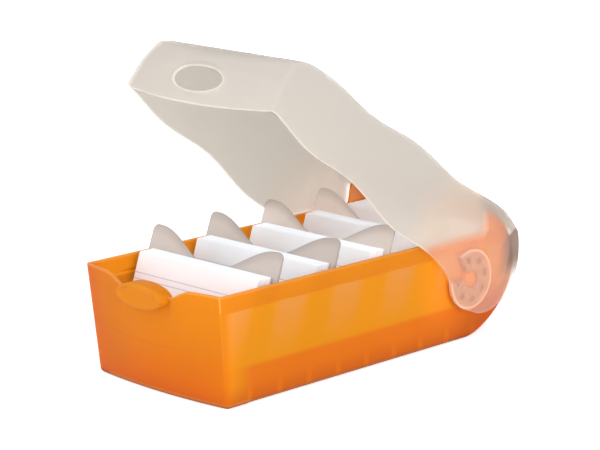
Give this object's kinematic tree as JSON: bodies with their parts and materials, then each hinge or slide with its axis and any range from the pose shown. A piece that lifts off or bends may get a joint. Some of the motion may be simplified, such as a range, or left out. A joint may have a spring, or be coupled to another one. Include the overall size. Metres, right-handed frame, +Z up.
{
  "type": "index card box",
  "caption": "Translucent card index box: bowed tray with leaning packs of ruled cards, finned divider plates, and a wavy hinged lid that snaps over an oval latch button.",
  "frame": {"origin": "on the surface that the box stands on, under the middle of the tray's flat base", "axes": "+Z up, -Y towards the latch at the front, +Y towards the hinge, X across the box"},
  "size_m": [0.0914, 0.1987, 0.1428],
  "materials": {
    "orange_frosted": "frosted translucent polypropylene",
    "clear_frosted": "frosted translucent polypropylene",
    "grey_translucent": "satin translucent sheet",
    "card": "uncoated white card with ruled lines"
  },
  "bodies": {
    "tray": {"tray": "orange_frosted"},
    "lid": {"lid": "clear_frosted"},
    "divider_1": {"divider_1": "grey_translucent"},
    "divider_2": {"divider_2": "grey_translucent"},
    "divider_3": {"divider_3": "grey_translucent"},
    "divider_4": {"divider_4": "grey_translucent"},
    "pack_1": {"front_card_1": "card", "cards_1": "card", "rear_card_1": "card"},
    "pack_2": {"front_card_2": "card", "cards_2": "card", "rear_card_2": "card"},
    "pack_3": {"front_card_3": "card", "cards_3": "card", "rear_card_3": "card"},
    "pack_4": {"front_card_4": "card", "cards_4": "card", "rear_card_4": "card"},
    "pack_5": {"front_card_5": "card", "cards_5": "card", "rear_card_5": "card"}
  },
  "joints": [
    {"name": "lid_hinge", "type": "hinge", "parent": "tray", "child": "lid", "pos_m": [0, 0.07509, 0.02927], "axis": [-1, 0, 0], "range_deg": [-33.7, 56.3]},
    {"name": "divider_1_lift", "type": "slide", "parent": "tray", "child": "divider_1", "axis": [0, 0.3256, 0.9455], "range_m": [0, 0.06]},
    {"name": "divider_2_lift", "type": "slide", "parent": "tray", "child": "divider_2", "axis": [0, 0.3256, 0.9455], "range_m": [0, 0.046]},
    {"name": "divider_3_lift", "type": "slide", "parent": "tray", "child": "divider_3", "axis": [0, 0.3256, 0.9455], "range_m": [0, 0.032]},
    {"name": "divider_4_lift", "type": "slide", "parent": "tray", "child": "divider_4", "axis": [0, 0.3256, 0.9455], "range_m": [0, 0.012]},
    {"name": "pack_1_tip", "type": "hinge", "parent": "tray", "child": "pack_1", "pos_m": [0, -0.07199, 0.00212], "axis": [1, 0, 0], "range_deg": [0, 25]},
    {"name": "pack_2_tip", "type": "hinge", "parent": "tray", "child": "pack_2", "pos_m": [0, -0.03699, 0.00212], "axis": [1, 0, 0], "range_deg": [0, 25]},
    {"name": "pack_3_tip", "type": "hinge", "parent": "tray", "child": "pack_3", "pos_m": [0, -0.00199, 0.00212], "axis": [1, 0, 0], "range_deg": [0, 25]},
    {"name": "pack_4_tip", "type": "hinge", "parent": "tray", "child": "pack_4", "pos_m": [0, 0.03301, 0.00212], "axis": [1, 0, 0], "range_deg": [0, 25]},
    {"name": "pack_5_tip", "type": "hinge", "parent": "tray", "child": "pack_5", "pos_m": [0, 0.06081, 0.00212], "axis": [1, 0, 0], "range_deg": [0, 14]}
  ]
}
